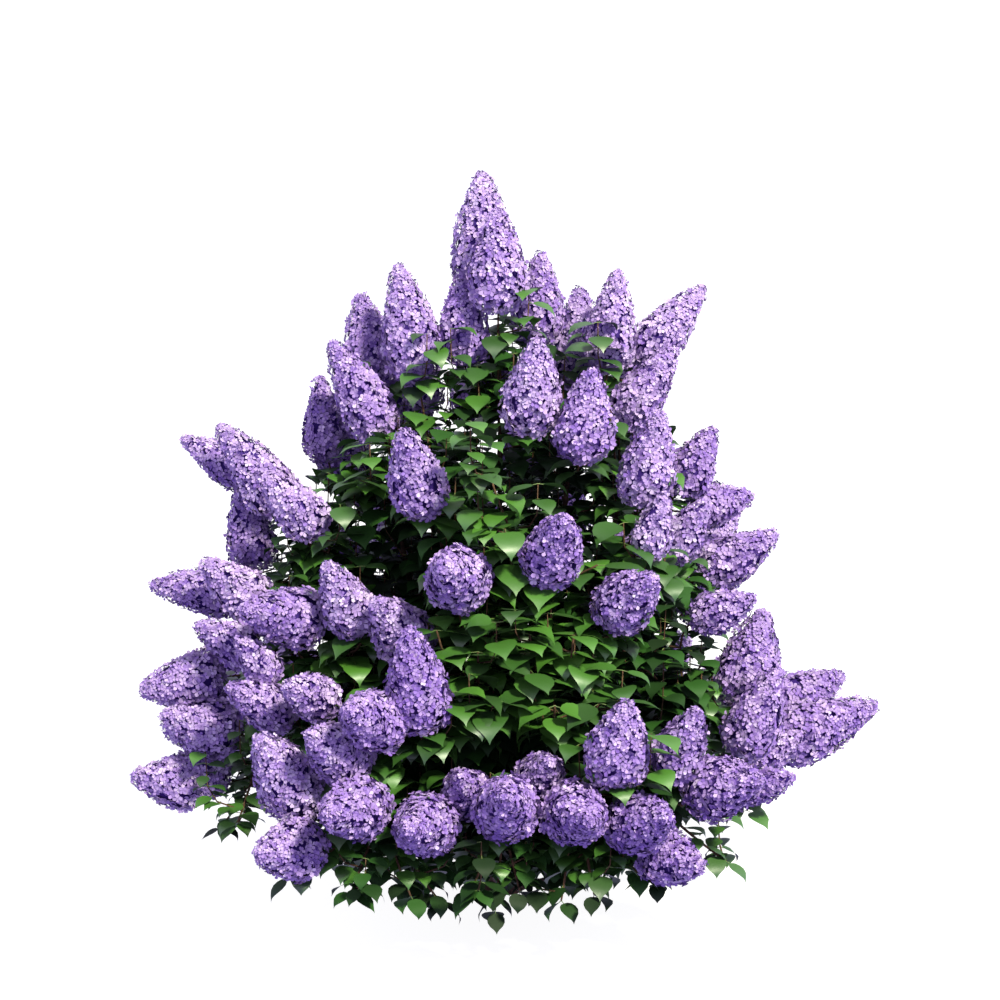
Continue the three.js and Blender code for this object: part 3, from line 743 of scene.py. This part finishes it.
def dress_mass(mass, heads, random):
    """Side twigs, and the outer and then the inner leaf sites, of one mass.

    A twig that would enter a flower head is left out.
    """
    cane = mass["cane"]
    first = path_length(cane) * CANE_TWIG_FROM
    cane_twigs = grow_twigs(cane, random, first, CANE_TWIG_SPACING, CANE_TWIG_LENGTHS)
    twigs = [(twig, "inner") for twig in cane_twigs if twig[0][2] > CANE_TWIG_LEAST_HEIGHT]
    sites = {"outer": [], "inner": []}
    for shoot in mass["shoots"]:
        path = shoot["path"]
        last = path_length(path) - (HEAD_CLEARANCE if shoot["size"] > 0 else 0)
        size = leaf_size_at(path[-1])
        for site in leaf_sites(path, random, size, FIRST_PAIR, last, LEAF_PAIR_SPACING):
            sites[depth_of(site[0], path)].append(site)
        for twig in grow_twigs(path, random, FIRST_TWIG, TWIG_SPACING, TWIG_LENGTHS):
            twigs.append((twig, depth_of(twig[0], path)))
    twigs = [(twig, depth) for twig, depth in twigs if not inside_heads(twig[1:], heads).any()]
    for twig, depth in twigs:
        size = leaf_size_at(twig[-1]) * TWIG_LEAF_SIZE
        last = path_length(twig)
        sites[depth] += leaf_sites(twig, random, size, TWIG_FIRST_PAIR, last, TWIG_PAIR_SPACING)
    mass["twigs"] = [twig for twig, _ in twigs]
    mass["sites"] = sites["outer"] + sites["inner"]
    mass["outer_count"] = len(sites["outer"])


def head_places(masses):
    """Base, axis, length and radius of every flower head."""
    shoots = [shoot for mass in masses for shoot in mass["shoots"] if shoot["size"] > 0]
    bases = np.array([shoot["path"][-1] for shoot in shoots])
    axes = np.array([shoot["axis"] for shoot in shoots])
    lengths = np.array([HEAD_LENGTH * shoot["size"] for shoot in shoots])
    radii = np.array([HEAD_RADIUS * shoot["size"] * shoot["girth"] for shoot in shoots])
    return bases, axes, lengths, radii


def inside_heads(points, heads):
    """Which points lie inside a flower head."""
    bases, axes, lengths, radii = heads
    from_base = points[:, None] - bases[None]
    height = np.einsum("phk,hk->ph", from_base, axes)
    across = np.linalg.norm(from_base - height[..., None] * axes[None], axis=2)
    outline = np.array(HEAD_OUTLINE)
    width = np.interp(height / lengths, outline[:, 0], outline[:, 1], left=0, right=0) * radii
    return (across < width).any(axis=1)


def leaf_frames(outward):
    """Directions of each leaf: along, across and up from its face."""
    across = units(np.cross(UP, outward))
    return np.stack([outward, across, np.cross(outward, across)], axis=1)


def leaf_template(sizes, random):
    """Points of every leaf before it is placed: folded along its rib, and bending down to its tip.

    A leaf has one point at its foot, three in each row across it and one at its tip.
    """
    rows = np.array([(0, 0), *LEAF_OUTLINE, (1, 0)])
    copies = len(sizes)

    # The rib, straight at first and bending down over its outer part
    middles = (rows[1:, 0] + rows[:-1, 0]) / 2
    bent = np.interp(middles, LEAF_BEND_SPAN, (0, 1))
    pitch = random.uniform(*LEAF_DROOPS, (copies, 1)) * bent
    steps = np.diff(rows[:, 0])
    along = np.cumsum(np.cos(pitch) * steps, axis=1)
    down = np.cumsum(np.sin(pitch) * steps, axis=1)

    # Points from side to side in each row
    y = np.concatenate([[0], (rows[1:-1, 1][:, None] * [1, 0, -1]).ravel(), [0]])
    spread = [0, *np.repeat(np.arange(1, len(rows) - 1), 3), len(rows) - 1]
    x = np.concatenate([np.zeros((copies, 1)), along], axis=1)[:, spread]
    z = -np.concatenate([np.zeros((copies, 1)), down], axis=1)[:, spread]

    # Both halves folded up along the rib, and the whole leaf twisted about it
    fold = random.uniform(*LEAF_FOLDS, (copies, 1))
    twist = random.normal(0, LEAF_TWIST, (copies, 1))
    z = z + np.abs(y) * fold + twist * y
    length = sizes[:, None] * LEAF_LENGTH
    return np.stack([x * length, y * length, z * length], axis=2)


def leaf_faces():
    """Triangles of one leaf, from the point at its foot over its rows to its tip."""
    rows = len(LEAF_OUTLINE)
    tip = rows * 3 + 1
    faces = [(0, 2, 1), (0, 3, 2)]
    for row in range(rows - 1):
        a, b = 1 + row * 3, 4 + row * 3
        faces += [(a, a + 1, b), (a + 1, b + 1, b), (a + 1, a + 2, b + 1), (a + 2, b + 2, b + 1)]
    last = 1 + (rows - 1) * 3
    faces += [(last, last + 1, tip), (last + 1, last + 2, tip)]
    return np.array(faces)[:, ::-1]


def petioles(places, outward, sizes):
    """Short leaf stalks, open at their ends in the stem and under the leaf."""
    sides = PETIOLE_SIDES
    turn = bearings_round(sides)
    ring = np.stack([np.cos(turn), np.sin(turn)], axis=1) * PETIOLE_RADIUS
    low = np.concatenate([np.zeros((sides, 1)), ring], axis=1)
    high = np.concatenate([np.ones((sides, 1)), ring * PETIOLE_TAPER], axis=1)
    template = np.broadcast_to(np.concatenate([low, high]), (len(places), 2 * sides, 3)).copy()
    template[:, :, 0] *= sizes[:, None] * PETIOLE_LENGTH
    faces = []
    for here in range(sides):
        beside = (here + 1) % sides
        faces += [(here, beside, sides + beside), (here, sides + beside, sides + here)]
    return stamped(template, np.array(faces), places, leaf_frames(outward))


def free_leaves(points, heads):
    """Which leaves stay clear of the flower heads and of the ground."""
    corners = points.shape[1]
    checked = points[:, [0, corners // 2, corners - 1]]
    buried = inside_heads(checked.reshape(-1, 3), heads).reshape(checked.shape[:2]).any(axis=1)
    return ~buried & (points[:, :, 2].min(axis=1) > GROUND_CLEARANCE)


def dealt_greens(leaves, outer, random):
    """A green for each leaf. Sprays of a few leaves share one, and the inner leaves have darker ones as
    painted shade.
    """
    sprays = random.integers(0, len(GREENS), leaves // LEAVES_PER_SPRAY + 1)
    greens = np.repeat(sprays, LEAVES_PER_SPRAY)[:leaves]
    # Inner leaves take the darker greens, painted as shade
    shade_greens = len(GREENS) + greens % len(INNER_SHADE_GREENS)
    return np.where(np.arange(leaves) < outer, greens, shade_greens)


def make_leaves(region, masses, heads, materials):
    """The leaves of the masses of one region as a piece, and the stalks that carry them."""
    random = random_from(LEAF_SEED + REGIONS.index(region))
    leaves, stalks = Faces(), Faces()
    for mass in masses:
        places, outward, sizes = (np.array(column) for column in zip(*mass["sites"]))
        roots = places + outward * (sizes * PETIOLE_LENGTH)[:, None]
        template = leaf_template(sizes, random)
        vertices, triangles = stamped(template, leaf_faces(), roots, leaf_frames(outward))
        free = free_leaves(vertices.reshape(template.shape), heads)
        kept = np.repeat(free, len(leaf_faces()))
        greens = dealt_greens(len(free), mass["outer_count"], random)
        leaves.add(vertices, triangles[kept], np.repeat(greens, len(leaf_faces()))[kept])
        stalks.add(*petioles(places[free], outward[free], sizes[free]), 0)
    return leaves.mesh(f"leaves_{region}", materials["greens"]), stalks


def make_shoots(region, masses, stalks, materials):
    """Shoots and side twigs of the masses of one region, joined to their leaf stalks."""
    for mass in masses:
        for shoot in mass["shoots"]:
            radii = np.linspace(SHOOT_FOOT_RADIUS, SHOOT_TIP_RADIUS, len(shoot["path"]))
            stalks.add(*tube(shoot["path"], radii, SHOOT_SIDES), 1)
        for twig in mass["twigs"]:
            radii = np.linspace(TWIG_FOOT_RADIUS, TWIG_TIP_RADIUS, len(twig))
            stalks.add(*tube(twig, radii, TWIG_SIDES), 1)
    return stalks.mesh(f"twigs_{region}", [materials["green_stem"], materials["stem"]])


def floret_size_at(share):
    """Florets are smaller towards the tip of the head."""
    return np.interp(share, *zip(*FLORET_SIZE_UP_HEAD))


def outline_run(length, radius):
    """Height and width, slope and running count of florets up the outline of a head."""
    fine = fine_path(np.array(HEAD_OUTLINE) * (length, radius), length / HEAD_OUTLINE_STEPS)
    steps = np.diff(fine, axis=0)
    area = np.hypot(*steps.T) * (fine[1:, 1] + fine[:-1, 1]) * math.pi
    florets = area / (FLORET_SPACING * floret_size_at(fine[1:, 0] / length)) ** 2
    slopes = units(np.gradient(fine, axis=0))
    return fine, slopes, np.concatenate([[0], np.cumsum(florets)])


def head_florets(base, axis, length, radius, random):
    """Places, directions and sizes of the florets of one head, on a spiral of even spacing."""
    fine, slopes, run = outline_run(length, radius)
    count = round(run[-1])
    wanted = np.arange(count) + 0.5
    up, out = (np.interp(wanted, run, column) for column in fine.T)
    along, across = (np.interp(wanted, run, column) for column in slopes.T)
    turn = np.arange(count) * GOLDEN_TURN + random.normal(0, FLORET_SPIRAL_SPREAD, count)
    side, front = across_axes(axis)
    radial = side * np.cos(turn)[:, None] + front * np.sin(turn)[:, None]
    normals = radial * along[:, None] - axis * across[:, None]
    phase = random.uniform(0, 2 * math.pi, 2)
    lumps = np.cos(HEAD_LUMPS_ROUND * turn + phase[0]) * np.cos(up / HEAD_LUMP_HEIGHT + phase[1])
    proud = lumps * HEAD_LUMP * out - FLORET_SINK + random.normal(0, FLORET_SINK_SPREAD, count)
    places = base + axis * up[:, None] + radial * out[:, None] + normals * proud[:, None]
    normals = units(normals + random.normal(0, FLORET_TILT, (count, 3)))
    sizes = FLORET_RADIUS * floret_size_at(up / length)
    return places, normals, sizes * random.uniform(*FLORET_SIZES, count)


def floret_template(sizes, random):
    """Points of every floret before it is placed: rounded sepals, each with a lift of its own."""
    x, y, z = np.array(SEPAL_POINTS).T
    sepals = []
    for turn in bearings_round(SEPALS):
        lift = random.normal(SEPAL_LIFT, SEPAL_LIFT_SPREAD, (len(sizes), 1))
        twist = random.normal(0, SEPAL_TWIST, (len(sizes), 1))
        across = np.broadcast_to(x * math.cos(turn) - y * math.sin(turn), (len(sizes), len(x)))
        front = np.broadcast_to(x * math.sin(turn) + y * math.cos(turn), (len(sizes), len(x)))
        sepals.append(np.stack([across, front, z + x * lift + y * twist], axis=2))
    return np.concatenate(sepals, axis=1) * sizes[:, None, None]


def floret_faces():
    """Triangles of one floret, sepal by sepal."""
    first_points = np.arange(SEPALS) * len(SEPAL_POINTS)
    return np.concatenate([np.array(SEPAL_FACES) + first for first in first_points])


def painted_shade_core(base, axis, length, radius):
    """The crowded flower stalks inside a head, as one closed form coloured dark as painted shade between
    the florets.
    """
    rows = np.array(HEAD_OUTLINE)
    middle = 0.5 + (rows[:, 0] - 0.5) * CORE_SHARE
    points = base + axis * (middle * length)[:, None]
    return tube(points, rows[:, 1] * radius * CORE_SHARE, CORE_SIDES)


def floret_frames(normals, random):
    """Directions of each floret of a head. Neighbours are turned about alike in their own plane."""
    guide = unit(random.normal(0, 1, 3))
    across = units(np.cross(normals, guide + random.normal(0, FLORET_TURN_SPREAD, normals.shape)))
    return np.stack([across, np.cross(normals, across), normals], axis=1)


def dealt_lilacs(count, random):
    """A lilac for each sepal of a head: close to its floret's tone, which strays from the head's."""
    tone = random.uniform(*HEAD_TONES) + random.normal(0, FLORET_TONE, (count, 1))
    tone = tone + random.normal(0, SEPAL_TONE, (count, SEPALS))
    return np.clip(np.round(tone), 0, len(LILACS) - 1).astype(int).ravel()


def make_blossom(region, masses, materials):
    """Florets over a core painted dark as shade, for every flower head of one region."""
    random = random_from(BLOSSOM_SEED + REGIONS.index(region))
    faces = Faces()
    for head in zip(*head_places(masses)):
        places, normals, sizes = head_florets(*head, random)
        frames = floret_frames(normals, random)
        vertices, triangles = stamped(floret_template(sizes, random), floret_faces(), places, frames)
        lilacs = dealt_lilacs(len(places), random)
        faces.add(vertices, triangles, np.repeat(lilacs, len(SEPAL_FACES)))
        # The core takes the dark violet painted as shade
        faces.add(*painted_shade_core(*head), len(LILACS))
    return faces.mesh(f"blossom_{region}", materials["lilacs"])


def linear(colour):
    """A colour from 0-255 values as the shader takes it, by the standard display curve."""
    shares = [value / 255 for value in colour]
    return [s / 12.92 if s <= 0.04045 else ((s + 0.055) / 1.055) ** 2.4 for s in shares] + [1]


def plain_material(name, colour, finish):
    """One plain colour with its finish, which is a roughness and a specular level."""
    material = bpy.data.materials.new(name)
    material.use_nodes = True
    shader = material.node_tree.nodes["Principled BSDF"]
    shader.inputs["Base Color"].default_value = linear(colour)
    roughness, specular = finish
    shader.inputs["Roughness"].default_value = roughness
    shader.inputs["Specular IOR Level"].default_value = specular
    return material


def add_grain(material, grain):
    """Fine unevenness over a material. Returns its noise, for a colour that follows it."""
    scale, strength, distance = grain
    tree = material.node_tree
    noise = tree.nodes.new("ShaderNodeTexNoise")
    noise.inputs["Scale"].default_value = scale
    noise.inputs["Detail"].default_value = GRAIN_DETAIL
    place = tree.nodes.new("ShaderNodeTexCoord")
    bump = tree.nodes.new("ShaderNodeBump")
    bump.inputs["Strength"].default_value = strength
    bump.inputs["Distance"].default_value = distance
    tree.links.new(place.outputs["Object"], noise.inputs["Vector"])
    tree.links.new(noise.outputs["Fac"], bump.inputs["Height"])
    tree.links.new(bump.outputs["Normal"], tree.nodes["Principled BSDF"].inputs["Normal"])
    return noise


def bark_material(name, browns, grain):
    """Bark mottled between two browns, with a rough surface."""
    material = plain_material(name, browns[0], BARK_FINISH)
    noise = add_grain(material, grain)
    tree = material.node_tree
    ramp = tree.nodes.new("ShaderNodeValToRGB")
    for stop, position, brown in zip(ramp.color_ramp.elements, BARK_MOTTLE, browns):
        stop.position = position
        stop.color = linear(brown)
    tree.links.new(noise.outputs["Fac"], ramp.inputs["Fac"])
    tree.links.new(ramp.outputs["Color"], tree.nodes["Principled BSDF"].inputs["Base Color"])
    return material


def numbered_materials(name, colours, finish):
    return [plain_material(f"{name}_{n + 1}", colour, finish) for n, colour in enumerate(colours)]


def leaf_materials():
    """Greens of the outer leaves, which are glossy, and then the darker ones painted as shade on the
    inner leaves, which are matt.
    """
    greens = numbered_materials("leaf_green", GREENS, LEAF_FINISH)
    greens += numbered_materials("inner_shade_green", INNER_SHADE_GREENS, INNER_LEAF_FINISH)
    for material in greens:
        add_grain(material, LEAF_GRAIN)
    return greens


def blossom_materials():
    """Lilacs of the sepals, and then the dark violet painted as shade on a head's core."""
    depth = plain_material("lilac_painted_shade", LILAC_SHADE, LILAC_SHADE_FINISH)
    return [*numbered_materials("lilac", LILACS, SEPAL_FINISH), depth]


def make_materials():
    """Every material of the plant by its name, leaves and blossom with several each."""
    return {
        "greens": leaf_materials(),
        "lilacs": blossom_materials(),
        "bark": bark_material("cane_bark", CANE_BARK, CANE_GRAIN),
        "stem": bark_material("shoot_bark", SHOOT_BARK, SHOOT_GRAIN),
        "green_stem": plain_material("leaf_stalk", LEAF_STALK, LEAF_STALK_FINISH),
    }


def make_stage_piece(name, corners, faces, glow):
    """A white piece of the studio, which shows but throws no light back on the plant."""
    mesh = bpy.data.meshes.new(name)
    mesh.from_pydata(corners, [], faces)
    material = plain_material(f"{name}_white", STAGE_WHITE, STAGE_FINISH)
    shader = material.node_tree.nodes["Principled BSDF"]
    shader.inputs["Emission Color"].default_value = GLOW_COLOUR
    shader.inputs["Emission Strength"].default_value = glow
    mesh.materials.append(material)
    piece = bpy.data.objects.new(name, mesh)
    piece.visible_diffuse = False
    piece.visible_glossy = False
    bpy.context.scene.collection.objects.link(piece)
    return piece


def make_studio():
    """Pale floor that runs to a white wall all round."""
    ring = [(STAGE_REACH * math.cos(bearing), STAGE_REACH * math.sin(bearing))
            for bearing in bearings_round(STAGE_SIDES)]
    make_stage_piece("floor", [(x, y, 0) for x, y in ring], [tuple(range(STAGE_SIDES))], FLOOR_GLOW)
    corners = [(x, y, z) for z in (0, WALL_HEIGHT) for x, y in ring]
    faces = []
    for here in range(STAGE_SIDES):
        beside = (here + 1) % STAGE_SIDES
        faces.append((here, beside, STAGE_SIDES + beside, STAGE_SIDES + here))
    wall = make_stage_piece("wall", corners, faces, WALL_GLOW)
    wall.visible_shadow = False


def aim(thing, place, target):
    """Put a camera or light at a place, looking at a target. Both are in metres."""
    thing.location = place
    direction = np.array(target) - np.array(place)
    level = math.hypot(direction[0], direction[1])
    tilt = math.atan2(level, -direction[2])
    thing.rotation_euler = (tilt, 0, math.atan2(-direction[0], direction[1]))
    bpy.context.scene.collection.objects.link(thing)


def make_camera():
    """Camera at the photograph's angle, a little above the middle of the plant."""
    camera = bpy.data.objects.new("camera", bpy.data.cameras.new("camera"))
    camera.data.lens = CAMERA_LENS
    camera.data.sensor_width = CAMERA_SENSOR
    rise = math.radians(CAMERA_ELEVATION)
    height = CAMERA_TARGET[2] + CAMERA_DISTANCE * math.sin(rise)
    aim(camera, (0, -CAMERA_DISTANCE * math.cos(rise), height), CAMERA_TARGET)
    bpy.context.scene.camera = camera


def make_key_light():
    """A small strong light from the upper right, in front."""
    key = bpy.data.objects.new("key_light", bpy.data.lights.new("key_light", "AREA"))
    key.data.energy = KEY_ENERGY
    key.data.size = KEY_SIZE
    key.data.color = KEY_COLOUR
    aim(key, KEY_PLACE, KEY_TARGET)


def make_sky():
    """Soft light from all round, which is brighter from above."""
    world = bpy.data.worlds.new("studio")
    world.use_nodes = True
    tree = world.node_tree
    place = tree.nodes.new("ShaderNodeTexCoord")
    split = tree.nodes.new("ShaderNodeSeparateXYZ")
    height = tree.nodes.new("ShaderNodeMapRange")
    height.inputs["From Min"].default_value = -1
    ramp = tree.nodes.new("ShaderNodeValToRGB")
    ramp.color_ramp.elements.new(SKY_LEVEL)
    for stop, colour in zip(ramp.color_ramp.elements, SKY_COLOURS):
        stop.color = (*colour, 1)
    tree.links.new(place.outputs["Generated"], split.inputs["Vector"])
    tree.links.new(split.outputs["Z"], height.inputs["Value"])
    tree.links.new(height.outputs["Result"], ramp.inputs["Fac"])
    tree.links.new(ramp.outputs["Color"], tree.nodes["Background"].inputs["Color"])
    bpy.context.scene.world = world


def dress_region(region, masses, heads, materials):
    """Joined leaves, twigs and blossom in place of the solid foliage of one region."""
    nodes = [f"foliage_{mass['name']}" for mass in masses]
    leaves, stalks = make_leaves(region, masses, heads, materials)
    twigs = make_shoots(region, masses, stalks, materials)
    blossom = make_blossom(region, masses, materials)
    for piece, slot in ((leaves, "foliage"), (twigs, "bark"), (blossom, "blossom")):
        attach(piece, "root")
        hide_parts(*nodes)


def make_plant():
    """The whole plant: its shoots are grown first, and then everything that shows is made."""
    masses = all_masses()
    deal_feet(masses)
    materials = make_materials()
    for mass in masses:
        grow_mass(mass)
    heads = head_places(masses)
    for number, mass in enumerate(masses):
        dress_mass(mass, heads, random_from(TWIG_SEED + number))
    make_crown(materials["bark"])
    make_canes(masses, materials["bark"])
    for region in REGIONS:
        own = [mass for mass in masses if mass["region"] == region]
        dress_region(region, own, heads, materials)


bpy.context.scene.view_settings.view_transform = "Standard"
make_camera()
make_key_light()
make_sky()
make_studio()
make_plant()
